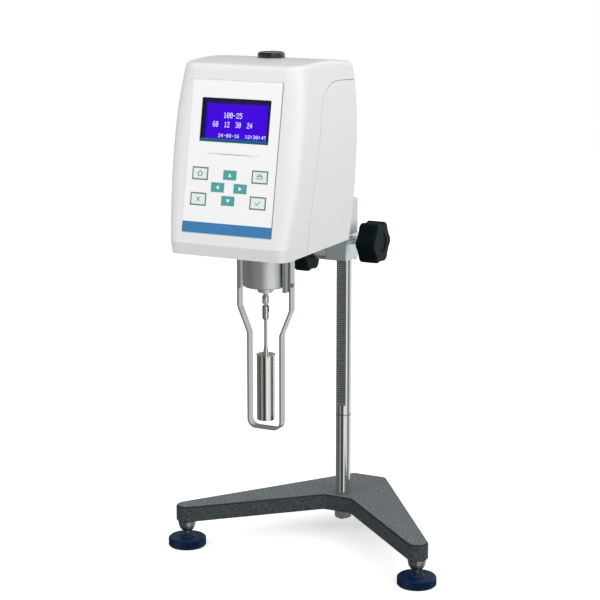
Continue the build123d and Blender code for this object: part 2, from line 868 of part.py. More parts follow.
def make_vial_ring():
    low = vial_seat()
    high = roof_mid_z + vial_rise
    return turned((
        (0, low), (vial_r, low), (vial_r, high - 2.2), (vial_r - 0.6, high - 1.0), (vial_r - 2.0, high),
        (vial_window_r + snug, high), (vial_window_r + snug, low + 1.2), (0, low + 1.2)), 0, vial_y)


def make_vial_capsule():
    """Clear filled capsule; its hollow is the bubble."""
    high = roof_mid_z + vial_rise - 0.4
    capsule = disc(vial_window_r, vial_seat() + 1.2, high, 0, vial_y)
    bubble = Pos(0, vial_y, high - vial_window_h - 0.6) * scale(Sphere(vial_bubble_r), by=(1, 1, 0.18))
    return capsule - bubble


# ---------------------------------------------------------------- spindle housing and guard
def make_guard_saddle():
    """Plate under the head whose two tabs hang down beside the housing."""
    body = disc(housing_r, housing_top, head_bottom, 0, axis_y)
    tabs = disc(tab_outer, tab_bottom, head_bottom, 0, axis_y)
    tabs -= disc(tab_inner, tab_bottom, housing_top, 0, axis_y)
    tabs &= block(-2 * tab_outer, 2 * tab_outer, axis_y - tab_half, axis_y + tab_half, tab_bottom,
                  head_bottom)
    body += tabs
    for side in (-1, 1):
        flat = side * tab_outer
        pad = block(min(flat, flat - side * tab_thick), max(flat, flat - side * tab_thick),
                    axis_y - strip_width / 2, axis_y + strip_width / 2, tab_bottom, housing_top)
        body += pad - disc(tab_inner, 0, head_bottom, 0, axis_y)
    body -= disc(housing_r - 2 * housing_wall, housing_top, head_bottom, 0, axis_y)
    return body - bar_x(guard_screw_r + snug, -2 * tab_outer, 2 * tab_outer, axis_y, guard_screw_z)


def make_spindle_housing():
    low = housing_bottom
    bore = bearing_r + snug
    return turned((
        (bore, low - hub_drop), (hub_r - hub_edge, low - hub_drop),
        (hub_r - 0.3 * hub_edge, low - hub_drop + 0.3 * hub_edge), (hub_r, low - hub_drop + hub_edge),
        (hub_r, low),
        (housing_r - 1.2, low), (housing_r, low + 1.2), (housing_r, housing_top),
        (housing_r - housing_wall, housing_top), (housing_r - housing_wall, low + housing_wall),
        (bore, low + housing_wall)), 0, axis_y)


def make_spindle_bearings():
    """Plain bush in the housing's hub and flanged bush in the head's floor."""
    low = housing_bottom - hub_drop
    lower = disc(bearing_r, low, housing_bottom + housing_wall, 0, axis_y)
    upper = disc(bearing_r, head_bottom, plate_top, 0, axis_y)
    upper += disc(bearing_r + 2, plate_top, plate_top + 1.2, 0, axis_y)
    return lower + upper - disc(spindle_r + running, low, plate_top + 1.2, 0, axis_y)


def guard_path(shift):
    """Centre line of the bent guard strip, or one of its faces, as a half outline."""
    upper = guard_upper_half + shift
    lower = guard_lower_half + shift
    low = guard_bottom + strip_thick / 2 - shift
    corner = guard_corner_r + shift
    return FilletPolyline(
        (upper, housing_top - gap), (upper, guard_upper_z), (lower, guard_lower_z), (lower, low),
        (-lower, low), (-lower, guard_lower_z), (-upper, guard_upper_z), (-upper, housing_top - gap),
        radius=corner)


def make_guard_strip():
    """Flat strip bent into a long stirrup that shields the rotor."""
    outer = guard_path(strip_thick / 2)
    inner = guard_path(-strip_thick / 2)
    ends = [Line(outer @ 0, inner @ 0), Line(outer @ 1, inner @ 1)]
    face = make_face(outer.edges() + inner.edges() + [e for line in ends for e in line.edges()])
    strip = Pos(0, axis_y, 0) * extrude(Plane.XZ * face, strip_width / 2, both=True)
    return strip - bar_x(guard_screw_r + snug, -2 * tab_outer, 2 * tab_outer, axis_y, guard_screw_z)


def make_guard_screws():
    screws = Part()
    for side in (-1, 1):
        face = guard_upper_half + strip_thick / 2
        x0, x1 = sorted((side * (tab_inner + 0.2), side * face))
        h0, h1 = sorted((side * face, side * (face + 1.3)))
        screws += bar_x(guard_screw_r, x0, x1, axis_y, guard_screw_z)
        screws += bar_x(2.0, h0, h1, axis_y, guard_screw_z)
    return screws


# ---------------------------------------------------------------- spindle, universal joint and rotor
def make_spindle():
    """Spindle with the fork of the universal joint at its lower end."""
    fork_low = upper_pin_z - fork_reach
    fork = turned((
        (0, fork_low), (coupling_r - 0.9, fork_low), (coupling_r, fork_low + 1.4),
        (coupling_r, coupling_top - 2.2),
        (coupling_r - 1.2, coupling_top), (0, coupling_top)), 0, axis_y)
    slot_half = link_thick / 2 + 0.1
    slot = block(-slot_half, slot_half, axis_y - 5, axis_y + 5, fork_low - 1,
                 upper_pin_z + link_neck_r + 0.5)
    fork -= slot
    fork -= bar_x(pin_r + running, -5, 5, axis_y, upper_pin_z)
    return fork + disc(spindle_r, coupling_top - 1, spring_z + spring_width + 0.4, 0, axis_y)


def make_joint_link():
    """Small link between the two forks, with its two crossed pins."""
    half = link_thick / 2
    top_eye = bar_x(link_neck_r, -half, half, axis_y, upper_pin_z)
    low_eye = bar_y(link_neck_r, axis_y - half, axis_y + half, 0, lower_pin_z)
    neck = block(-half, half, axis_y - half, axis_y + half, lower_pin_z, upper_pin_z)
    reach = coupling_r - 0.3
    upper_pin = bar_x(pin_r, -reach, reach, axis_y, upper_pin_z)
    lower_pin = bar_y(pin_r, axis_y - reach, axis_y + reach, 0, lower_pin_z)
    return top_eye + low_eye + neck + upper_pin + lower_pin


def make_rotor_coupling():
    """Lower fork and threaded socket that the rotor screws into."""
    fork_high = lower_pin_z + fork_reach
    body = turned((
        (0, coupling_bottom), (coupling_r - 1.1, coupling_bottom), (coupling_r, coupling_bottom + 1.8),
        (coupling_r, fork_high - 1.4), (coupling_r - 0.9, fork_high), (0, fork_high)), 0, axis_y)
    slot_half = link_thick / 2 + 0.1
    body -= block(-5, 5, axis_y - slot_half, axis_y + slot_half, lower_pin_z - link_neck_r - 0.5,
                  fork_high + 1)
    body -= bar_y(pin_r + running, axis_y - 5, axis_y + 5, 0, lower_pin_z)
    return body - disc(rotor_rod_r + snug, coupling_bottom, coupling_bottom + 6.0, 0, axis_y)


def make_rotor():
    """Standard cylinder rotor with its stem."""
    low = rotor_bottom
    high = rotor_top
    return turned((
        (0, low), (rotor_r - 0.4, low), (rotor_r, low + 0.4), (rotor_r, high - 1.6), (rotor_r + 0.35,
                                                            high - 1.2),
        (rotor_r + 0.35, high - 0.3), (rotor_r, high), (rotor_cone_r, high),
        (rotor_rod_r, high + rotor_cone_h),
        (rotor_rod_r, coupling_bottom + 5.5), (0, coupling_bottom + 5.5)), 0, axis_y)


# ---------------------------------------------------------------- drive inside the head
def make_encoder_lower():
    """Slotted disc on the spindle, with its collet."""
    body = disc(encoder_r, lower_encoder_z, lower_encoder_z + encoder_thick, 0, axis_y)
    body += disc(4.0, lower_encoder_z - 2, spring_z + spring_width, 0, axis_y)
    body -= disc(spindle_r + snug, 0, bridge_z, 0, axis_y)
    return body - block(-1, 1, axis_y - encoder_r - 1, axis_y - encoder_r + 4, 0, bridge_z)


def make_hairspring():
    """Spiral spring that ties the drive shaft to the spindle."""
    steps = 28 * spring_turns
    start_r = 4.0 + loose
    outside = []
    inside = []
    for i in range(steps + 1):
        angle = 2 * math.pi * spring_turns * i / steps
        radius = start_r + (spring_outer_r - start_r) * i / steps
        outside.append(((radius + spring_strip) * math.cos(angle),
                        (radius + spring_strip) * math.sin(angle)))
        inside.append((radius * math.cos(angle), radius * math.sin(angle)))
    face = make_face(Polyline(*outside, *reversed(inside), close=True))
    spiral = extrude(Pos(0, axis_y, spring_z) * face, spring_width)
    stud = block(spring_outer_r - 0.6, spring_outer_r + 1.8, axis_y - 1.2, axis_y + 1.2, spring_z,
                 upper_encoder_z)
    return spiral + stud


def make_drive_shaft():
    """Output shaft of the gearbox with the upper slotted disc."""
    low = spring_z + spring_width + 1.2
    body = disc(drive_shaft_r, low, bridge_z + bridge_thick + 4.0, 0, axis_y)
    body += disc(encoder_r, upper_encoder_z, upper_encoder_z + encoder_thick, 0, axis_y)
    body += disc(4.5, upper_encoder_z, upper_encoder_z + 5, 0, axis_y)
    return body - block(-1, 1, axis_y - encoder_r - 1, axis_y - encoder_r + 4, 0, bridge_z)


def pillar_places():
    x = bridge_half_x - pillar_r - 1
    y = bridge_half_y - pillar_r - 1
    return [(sx * x, axis_y + sy * y) for sx in (-1, 1) for sy in (-1, 1)]


def make_motor_bridge():
    """Plate on four pillars that carries the motor above the spindle."""
    body = block(-bridge_half_x, bridge_half_x, axis_y - bridge_half_y, axis_y + bridge_half_y,
                 bridge_z, bridge_z + bridge_thick)
    for x, y in pillar_places():
        body += disc(pillar_r, plate_top, bridge_z, x, y)
    return body - disc(drive_shaft_r + running, bridge_z, bridge_z + bridge_thick, 0, axis_y)


def make_motor():
    low = bridge_z + bridge_thick
    middle = low + gearbox_h
    body = disc(gearbox_r, low, middle, 0, axis_y) + disc(motor_r, middle, middle + motor_h, 0, axis_y)
    return body - disc(drive_shaft_r + running, low, low + 4.5, 0, axis_y)


# ---------------------------------------------------------------- boards and rear fittings
def make_main_board():
    back = head_rear - head_wall - 5.0
    half = main_board_width / 2
    top = main_board_bottom + main_board_height
    front = back - board_thick
    body = block(-half, half, front, back, main_board_bottom, top)
    body += block(-36, -8, front - 18, front, main_board_bottom + 12, main_board_bottom + 42)
    body += block(6, 28, front - 3, front, main_board_bottom + 34, main_board_bottom + 50)
    body += bar_y(5.0, front - 14, front, 20, main_board_bottom + 18)
    return body


def make_power_entry():
    """Moulded appliance inlet with the frame of the mains switch above it."""
    half = inlet_width / 2
    low = inlet_z - inlet_height / 2
    high = rocker_z + rocker_height / 2
    body = block(inlet_x - half, inlet_x + half, head_rear - inlet_depth, head_rear, low, high)
    rim = inlet_rim
    face = head_rear + inlet_flange
    body += block(inlet_x - half - rim, inlet_x + half + rim, head_rear, face, low - rim, high + rim)
    body -= block(inlet_x - 12, inlet_x + 12, head_rear - 15, face, inlet_z - 7.8, inlet_z + 7.8)
    for right, up in ((-7, -2.5), (0, 2.5), (7, -2.5)):
        x = inlet_x + right
        z = inlet_z + up
        body += block(x - 1, x + 1, head_rear - 16, head_rear - 3, z - 2, z + 2)
    half = rocker_width / 2
    room = rocker_height / 2 - 1.2
    body -= block(inlet_x - half, inlet_x + half, head_rear - 6.5, face, rocker_z - room, rocker_z + room)
    return body


def make_switch_rocker():
    """Rocker of the mains switch, stored with its lower half pressed in."""
    length = rocker_width / 2 - rocker_play
    bend = math.tan(math.radians(rocker_tilt)) * length
    y = head_rear + inlet_flange - 1.6
    half = rocker_height / 2 - 1.2 - loose
    profile = Polyline((-length, y + 1.2), (0, y + 1.2), (length, y + 1.2 + bend), (length, y - 1.5),
                       (0, y - 4.5), (-length, y - 1.5 - bend), close=True)
    return extrude(Pos(inlet_x, 0, rocker_z) * make_face(profile), half, both=True)


def make_serial_port():
    body = block(port_x - port_width / 2, port_x + port_width / 2, head_rear - port_depth,
                 head_rear + 0.8,
                 port_z - port_height / 2, port_z + port_height / 2)
    socket = block(port_x - port_width / 2 + 2, port_x + port_width / 2 - 2, head_rear - 6,
                   head_rear + 0.8,
                   port_z - port_height / 2 + 2, port_z + port_height / 2 - 2)
    return body - socket


# ---------------------------------------------------------------- write every sub-part
def build_stand():
    save("base_casting", make_base())
    save("column", make_column())
    save("column_nut", make_column_nut())
    save("stop_ring", make_stop_ring())
    save("rack", make_rack())
    save("level_collars", make_level_collars())
    for name, (x, y) in feet.items():
        save(f"level_stud_{name}", make_level_stud(x, y))
        size = (rear_disc_r, rear_disc_teeth) if name == "rear" else (disc_r, disc_teeth)
        save(f"level_disc_{name}", make_level_disc(x, y, *size))


def build_slider():
    save("slider_block", make_slider_block())
    save("slider_cap", make_slider_cap())
    save("slider_screws", make_slider_screws())
    save("head_rod", make_head_rod())
    save("pinion", make_pinion())
    save("pinion_bush", make_pinion_bush())
    save("lift_knob", make_lift_knob())
    save("lock_sleeve", make_lock_sleeve())
    save("lock_cotter", make_lock_cotter())
    save("lock_screw", make_lock_screw())
    save("lock_knob", make_lock_knob())


def build_head():
    shell = head_shell()
    save("front_shell", make_front_shell(shell))
    save("rear_cover", make_rear_cover(shell))
    save("floor_casting", make_floor_casting())
    save("shell_screws", make_shell_screws())
    save("panel_overlay", make_panel_overlay())
    save("display_glass", make_display_glass())
    save("display_frame", make_display_frame())
    save("display_module", make_display_module())
    for name, (x, up), (width, height) in key_list():
        save(f"key_{name}", make_key(width, height, x, up))
    save("keypad_board", make_keypad_board())
    save("vial_ring", make_vial_ring())
    save("vial_capsule", make_vial_capsule())


def build_spindle():
    save("guard_saddle", make_guard_saddle())
    save("guard_strip", make_guard_strip())
    save("guard_screws", make_guard_screws())
    save("spindle_housing", make_spindle_housing())
    save("spindle_bearings", make_spindle_bearings())
    save("spindle", make_spindle())
    save("joint_link", make_joint_link())
    save("rotor_coupling", make_rotor_coupling())
    save("rotor", make_rotor())


def build_inside():
    save("encoder_lower", make_encoder_lower())
    save("hairspring", make_hairspring())
    save("drive_shaft", make_drive_shaft())
    save("motor_bridge", make_motor_bridge())
    save("motor", make_motor())
    save("main_board", make_main_board())
    save("power_entry", make_power_entry())
    save("switch_rocker", make_switch_rocker())
    save("serial_port", make_serial_port())


build_stand()
build_slider()
build_head()
build_spindle()
build_inside()
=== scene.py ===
# %% [markdown]
# # A rotational viscometer, piece by piece
#
# The instrument hangs on a rack-and-pinion column. Its leaning head holds a screen and eight keys, and
# turns a steel cylinder in the sample. The shapes of the hard pieces come packed from the CAD model, so
# this lesson is about two things: giving each of them the finish of the real material, and adding the
# small raised and printed details that a CAD model leaves out.
#
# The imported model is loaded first. Its bodies and nodes have names, and each node's place is in its mesh,
# in metres, so a new piece goes where its neighbour's box says.

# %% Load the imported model
import math

import bmesh
import bpy
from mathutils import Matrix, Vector


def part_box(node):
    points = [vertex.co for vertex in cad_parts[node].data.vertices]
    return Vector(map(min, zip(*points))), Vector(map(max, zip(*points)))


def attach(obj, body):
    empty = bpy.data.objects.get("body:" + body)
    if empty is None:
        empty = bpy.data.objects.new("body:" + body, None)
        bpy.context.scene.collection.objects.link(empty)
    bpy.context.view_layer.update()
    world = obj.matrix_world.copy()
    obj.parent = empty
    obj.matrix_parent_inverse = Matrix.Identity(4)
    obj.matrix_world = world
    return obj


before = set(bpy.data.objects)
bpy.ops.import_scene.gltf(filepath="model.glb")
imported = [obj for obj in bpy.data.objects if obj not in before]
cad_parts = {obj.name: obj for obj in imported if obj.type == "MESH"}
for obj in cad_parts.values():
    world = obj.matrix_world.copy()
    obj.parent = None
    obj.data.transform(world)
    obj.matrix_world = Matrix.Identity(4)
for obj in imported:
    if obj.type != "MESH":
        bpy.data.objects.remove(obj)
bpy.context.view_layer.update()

# %% [markdown]
# ## The camera
#
# A long lens from above the operator's right shoulder keeps the column and the head's edges nearly
# upright. The camera needs no aiming constraint: its place and its angles are enough, and it stays a
# plain object that other views can move.

# %% Place the camera
VIEW_PLACE = (0.7918, -1.61405, 0.6684)
VIEW_PITCH = math.radians(77.647)
VIEW_TURN = math.radians(26.269)
VIEW_LENS = 110.35
SENSOR = 36.0

view_data = bpy.data.cameras.new("operator_view")
view_data.lens = VIEW_LENS
view_data.sensor_width = SENSOR
view_data.clip_end = 30.0
view = bpy.data.objects.new("operator_view", view_data)
view.location = VIEW_PLACE
view.rotation_euler = (VIEW_PITCH, 0.0, VIEW_TURN)
bpy.context.scene.collection.objects.link(view)
bpy.context.scene.camera = view
bpy.context.scene.view_settings.view_transform = "Standard"
print("camera at", VIEW_PLACE, "with a lens of", VIEW_LENS, "mm")

# %% [markdown]
# ## Shader maths as plain Python
#
# Every finish below is a small graph of nodes. Written by hand a graph takes a page, so one class wraps
# a socket and turns + - * / into Math nodes, also when the number comes first as in 1 - mask. Colours are
# mixed with Mix nodes, because a Math node would turn them grey.

# %% A wire that can be calculated with
class Wire:
    """One output of a shader node."""

    def __init__(self, finish, socket):
        self.finish = finish
        self.socket = socket

    def math(self, operation, *others, clamp=False):
        settings = {"operation": operation, "use_clamp": clamp}
        return self.finish.node("ShaderNodeMath", settings, (self, *others))

    def other(self, name):
        return Wire(self.finish, self.socket.node.outputs[name])

    def clamp(self):
        return self.math("ADD", 0.0, clamp=True)

    def __add__(self, value):
        return self.math("ADD", value)

    def __sub__(self, value):
        return self.math("SUBTRACT", value)

    def __rsub__(self, value):
        return self.finish.node("ShaderNodeMath", {"operation": "SUBTRACT"}, (value, self))

    def __mul__(self, value):
        return self.math("MULTIPLY", value)

    def __truediv__(self, value):
        return self.math("DIVIDE", value)

    def __abs__(self):
        return self.math("ABSOLUTE")

    __radd__ = __add__
    __rmul__ = __mul__


print("wires can be added, taken away, multiplied and divided")

# %% [markdown]
# A graph is a node tree with one method that adds any node and one that mixes two colours. A finish is a
# material's graph that also knows its shader, and where on the piece a point lies, in millimetres.

# %% A finish that nodes are added to
class Graph:
    """A node tree with one method that adds any node."""

    def __init__(self, tree):
        self.tree = tree

    def node(self, kind, settings=None, sockets=(), out=0):
        made = self.tree.nodes.new(kind)
        for name, value in (settings or {}).items():
            if name == "stops":
                for i, (place, colour) in enumerate(value):
                    stop = made.color_ramp.elements[i] if i < 2 else made.color_ramp.elements.new(place)
                    stop.position = place
                    stop.color = (*colour, 1.0)
            else:
                setattr(made, name, value)
        pairs = sockets.items() if isinstance(sockets, dict) else enumerate(sockets)
        for key, value in pairs:
            if isinstance(value, Wire):
                self.tree.links.new(value.socket, made.inputs[key])
            else:
                made.inputs[key].default_value = value
        return Wire(self, made.outputs[out])

    def blend(self, factor, first, second):
        """Colour that goes from first to second as factor goes from 0 to 1."""
        first, second = ((*c, 1.0) if isinstance(c, tuple) else c for c in (first, second))
        return self.node("ShaderNodeMix", {"data_type": "RGBA"}, {0: factor, 6: first, 7: second}, out=2)


class Finish(Graph):
    """A material whose constants are set on its shader and whose variation comes from nodes."""

    def __init__(self, name, colour, roughness, metallic=0.0, **constants):
        self.material = bpy.data.materials.new(name)
        self.material.use_nodes = True
        super().__init__(self.material.node_tree)
        self.shader = self.tree.nodes["Principled BSDF"]
        self.shader.inputs["Base Color"].default_value = (*colour, 1.0)
        self.shader.inputs["Roughness"].default_value = roughness
        self.shader.inputs["Metallic"].default_value = metallic
        for name, value in constants.items():
            self.shader.inputs[name.replace("_", " ").title().replace("Ior", "IOR")].default_value = value
        self.place = self.node("ShaderNodeTexCoord", out="Object")
        self.millimetres = self.node("ShaderNodeVectorMath", {"operation": "SCALE"}, {
            0: self.place, "Scale": 1000.0})

    def drive(self, socket, wire):
        self.tree.links.new(wire.socket, self.shader.inputs[socket])

    def axes(self):
        x = self.node("ShaderNodeSeparateXYZ", {}, (self.millimetres,), out="X")
        return x, x.other("Y"), x.other("Z")

    def noise(self, per_mm, detail=2.0, rough=0.5, stretch=(1.0, 1.0, 1.0)):
        """Noise from 0 to 1 whose features are about 1 / per_mm millimetres across."""
        pulled = self.node("ShaderNodeVectorMath", {"operation": "MULTIPLY"}, (self.millimetres, stretch))
        return self.node("ShaderNodeTexNoise", {}, {
            "Vector": pulled, "Scale": per_mm, "Detail": detail, "Roughness": rough})

    def bump(self, height, depth_mm):
        """Raise the surface by height times depth_mm."""
        self.drive("Normal", self.node("ShaderNodeBump", {}, {
            "Height": height, "Strength": 1.0, "Distance": depth_mm / 1000.0}))


print("shader helpers ready")

# %% [markdown]
# ## The room
#
# The room is a pale floor and a white surround. What the camera, glass and metal see of the surround is
# set apart from the light that it gives, with the Light Path node: the background is plain white, and
# the object is lit softly. A polished bar only mirrors what stands round it, so the surround that gloss
# sees has a few dark panels between the white ones, which draw the long dark lines down round metal.

# %% The surround
ROOM_LIGHT = 0.7
PANELS = (  # heading in degrees from +X, brightness that polished metal sees there
    (-180, 0.22), (-165, 0.16), (-138, 0.06), (-126, 0.24), (-116, 0.38), (-104, 0.34), (-97, 0.05),
    (-68, 0.07), (-60, 1.0), (-22, 1.0), (-14, 0.9), (6, 0.2), (24, 0.2), (36, 0.95), (84, 0.95),
    (110, 0.3), (150, 0.15), (180, 0.22))

world = bpy.data.worlds.new("studio")
world.use_nodes = True
bpy.context.scene.world = world
room = Graph(world.node_tree)
world.node_tree.nodes.clear()
heading = room.node("ShaderNodeTexCoord", out="Generated")
east = room.node("ShaderNodeSeparateXYZ", {}, (heading,), out="X")
turn = east.other("Y").math("ARCTAN2", east) / (2 * math.pi) + 0.5
panels = room.node("ShaderNodeValToRGB", {"stops": [
    ((angle + 180) / 360, (bright, bright, bright)) for angle, bright in PANELS]}, (turn,))
path = room.node("ShaderNodeLightPath", out="Is Camera Ray")
sees_white = (path + path.other("Is Transmission Ray")).clamp()
glossy = path.other("Is Glossy Ray")
lamp_part = room.node("ShaderNodeBackground", {}, {"Color": (1, 1, 1, 1), "Strength": ROOM_LIGHT})
panel_part = room.node("ShaderNodeBackground", {}, {"Color": panels, "Strength": 1.0})
white_part = room.node("ShaderNodeBackground", {}, {"Color": (1, 1, 1, 1), "Strength": 1.0})
gloss_or_lamp = room.node("ShaderNodeMixShader", {}, (glossy, lamp_part, panel_part))
whole = room.node("ShaderNodeMixShader", {}, (sees_white, gloss_or_lamp, white_part))
world_out = world.node_tree.nodes.new("ShaderNodeOutputWorld")
world.node_tree.links.new(whole.socket, world_out.inputs["Surface"])
print("surround lit at", ROOM_LIGHT)

# %% [markdown]
# The camera sees a floor that is as good as white: pale paint, with a little glow that only the camera
# gets. To all other light the floor is dark, or its bounce would wash out the undersides, and gloss
# doesn't see it. It still takes the object's shadow.

# %% The floor
FLOOR_HALF = 3.0
FLOOR_GLOW = 0.45
FLOOR_BOUNCE = 0.2


def flat_sheet(name, half, height):
    sheet = bpy.data.meshes.new(name)
    corners = [(-half, -half, height), (half, -half, height), (half, half, height), (-half, half, height)]
    sheet.from_pydata(corners, [], [(0, 1, 2, 3)])
    made = bpy.data.objects.new(name, sheet)
    bpy.context.scene.collection.objects.link(made)
    return made


floor_finish = Finish("pale_floor", (0.86, 0.86, 0.86), 0.9)
floor_finish.shader.inputs["Specular IOR Level"].default_value = 0.0
mottle = floor_finish.noise(0.02, detail=3.0)
seen = floor_finish.node("ShaderNodeLightPath", out="Is Camera Ray")
paper_white = floor_finish.blend(mottle, (0.85, 0.85, 0.85), (0.88, 0.88, 0.88))
floor_finish.drive("Base Color", floor_finish.blend(seen, (FLOOR_BOUNCE,) * 3, paper_white))
glow = floor_finish.node("ShaderNodeEmission", {}, {"Strength": FLOOR_GLOW})
nothing = floor_finish.node("ShaderNodeEmission", {}, {"Strength": 0.0})
extra = floor_finish.node("ShaderNodeMixShader", {}, (seen, nothing, glow))
paint = Wire(floor_finish, floor_finish.shader.outputs[0])
lit = floor_finish.node("ShaderNodeAddShader", {}, (paint, extra))
floor_finish.tree.links.new(lit.socket, floor_finish.tree.nodes["Material Output"].inputs["Surface"])
floor = flat_sheet("floor", FLOOR_HALF, 0.0)
floor.data.materials.append(floor_finish.material)
floor.visible_glossy = False
print("floor", 2 * FLOOR_HALF, "m wide")

# %% [markdown]
# Three soft lamps model the forms: one ahead and a little to the left, one as strong on the right, and a
# weaker one behind that lifts the roof and the back. Metal doesn't see them, only the surround's panels.

# %% Lamps
LAMPS = {  # name: (place, size, watts)
    "front_lamp": ((-0.55, -1.9, 1.35), 1.5, 19.0),
    "right_lamp": ((1.9, -0.5, 1.0), 1.3, 19.0),
    "rear_lamp": ((-0.7, 1.8, 1.5), 1.4, 9.0),
}
AIM = Vector((0.0, 0.0, 0.35))

for name, (place, size, watts) in LAMPS.items():
    lamp_data = bpy.data.lights.new(name, "AREA")
    lamp_data.shape = "SQUARE"
    lamp_data.size = size
    lamp_data.energy = watts
    lamp = bpy.data.objects.new(name, lamp_data)
    lamp.location = place
    lamp.rotation_euler = (AIM - Vector(place)).to_track_quat("-Z", "Y").to_euler()
    lamp.visible_glossy = False
    bpy.context.scene.collection.objects.link(lamp)
    print(name, watts, "W")

# %% [markdown]
# ## Dressing a node
#
# A CAD node keeps its mesh and its place. Only the materials in its slots change.

# %% Put a finish on CAD nodes
dressed = set()


def dress(finish, *names):
    for name in names:
        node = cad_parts[name]
        if not node.material_slots:
            node.data.materials.append(finish.material)
        for slot in node.material_slots:
            slot.material = finish.material
        dressed.add(name)
    print(finish.material.name, "->", ", ".join(names))


def srgb(red, green, blue):
    """Linear colour of a paint that shows as these 0-255 values."""
    return tuple(((c / 255 + 0.055) / 1.055) ** 2.4 if c > 10 else c / 255 / 12.92
                 for c in (red, green, blue))


# %% [markdown]
# ## The base casting
#
# The base is cast iron under a hammered stove enamel, which pulls itself into shallow cells about a
# millimetre wide. A Voronoi texture gives the cells and a fine noise breaks them up. Both feed the bump,
# and both pick between a dark and a light tone. The way a face points, from the Geometry node's Normal,
# sets painted light and shade: level tops, which take the most light, get the widest and palest range,
# upright sides a narrower, darker one, and the rounded brow between them is painted dark as shade.

# %% Hammered enamel
# Limits for painted light and shade: faces above the second get the paler lit tone, and the brow between the
# two is painted dark as shade.
BROW_SHADE_FROM = 0.2  # how far up a face points where the brow begins: 0 is upright, 1 is level
LIT_TOP_FROM = 0.86

enamel = Finish("hammered_enamel", srgb(92, 100, 103), 0.42, specular_ior_level=0.12)
cells = enamel.node("ShaderNodeTexVoronoi", {"feature": "F1"}, {"Vector": enamel.millimetres, "Scale": 0.9})
grit = enamel.noise(0.62, detail=3.0, rough=0.75)
cloud = enamel.noise(0.05, detail=2.0)
fleck = ((grit - 0.5) * 6.0 + 0.5 + (cells - 0.35) * 0.6).clamp()
normal = enamel.node("ShaderNodeNewGeometry", out="Normal")
upward = enamel.node("ShaderNodeSeparateXYZ", {}, (normal,), out="Z")
# Masks for painted light and shade: level faces take the paler lit tone, and the brow is painted dark.
level = ((upward - LIT_TOP_FROM) * 10.0).clamp()
brow_shade = ((upward - BROW_SHADE_FROM) * 8.0).clamp() * (1 - level)
# Painted light: the tops' tones are paler than the sides' because tops take the most light; the brow is
# painted shade.
shaded_side_tones = enamel.blend(fleck, srgb(34, 39, 41), srgb(78, 84, 87))
lit_top_tones = enamel.blend(fleck, srgb(30, 36, 39), srgb(132, 138, 140))
lit_and_shaded_enamel = enamel.blend(brow_shade * 0.9, enamel.blend(level, shaded_side_tones, lit_top_tones), srgb(34, 38, 41))
enamel.drive("Base Color", enamel.blend(cloud * 0.2, lit_and_shaded_enamel, srgb(70, 78, 82)))
enamel.drive("Roughness", 0.34 + grit * 0.2)
enamel.bump(cells * 0.5 + grit * 0.6, 0.25)
dress(enamel, "base_casting")

# %% [markdown]
# ## Steel
#
# The column, the rack, the guard and the rotor are steel, finished differently: the column and the rotor
# are ground round their axis and polished, the rack is darker and oiled, the guard is drawn strip. Ground
# marks are noise pulled long one way: squeezed along Z it leaves fine rings.

# %% A family of steels
def steel(name, colour, roughness, pull, per_mm=1.2, marks=0.02, spread=0.12):
    """Metal with grinding marks; pull stretches the noise and so turns it into lines."""
    finish = Finish(name, colour, roughness, metallic=1.0)
    lines = finish.noise(per_mm, detail=3.0, rough=0.65, stretch=pull)
    smudge = finish.noise(0.08, detail=3.0)
    darker = tuple(0.82 * c for c in colour)
    finish.drive("Base Color", finish.blend((lines * 0.7 + smudge * 0.5 - 0.2).clamp(), darker, colour))
    finish.drive("Roughness", roughness + (lines - 0.5) * spread + (smudge - 0.5) * 0.08)
    finish.bump(lines, marks)
    return finish


ROUND_Z = (0.12, 0.12, 6.0)
ALONG_Z = (5.0, 5.0, 0.05)
ALONG_X = (0.05, 5.0, 5.0)
column_steel = steel("ground_column_steel", srgb(226, 230, 228), 0.11, ROUND_Z)
rotor_steel = steel("turned_rotor_steel", srgb(236, 234, 230), 0.08, ROUND_Z, marks=0.012)
strip_steel = steel("drawn_strip_steel", srgb(192, 196, 195), 0.16, ALONG_Z)
small_steel = steel("turned_small_steel", srgb(225, 225, 222), 0.15, ROUND_Z)
cross_steel = steel("ground_cross_steel", srgb(222, 226, 228), 0.2, ALONG_X)
rack_steel = steel("oiled_rack_steel", srgb(194, 199, 198), 0.34, ALONG_X, marks=0.03)
screw_steel = steel("screw_steel", srgb(170, 172, 172), 0.3, (1.0, 1.0, 1.0))
stud_steel = steel("stud_steel", srgb(150, 155, 158), 0.28, ROUND_Z)
dress(column_steel, "column")
dress(rotor_steel, "rotor")
dress(strip_steel, "guard_strip", "guard_saddle")
dress(small_steel, "rotor_coupling", "spindle", "joint_link")
dress(cross_steel, "lock_sleeve", "pinion_bush", "head_rod", "pinion", "lock_screw", "lock_cotter")
dress(rack_steel, "rack")
dress(screw_steel, "column_nut", "stop_ring", "slider_screws", "shell_screws", "guard_screws")
dress(stud_steel, "level_stud_left", "level_stud_right", "level_stud_rear")

# %% [markdown]
# ## Satin metal of the slider, the housing and the collars
#
# These are milled or turned and then satin finished, so a reflection is only a soft change of tone. The
# cast, bronze and brass pieces inside the head come from the same family.

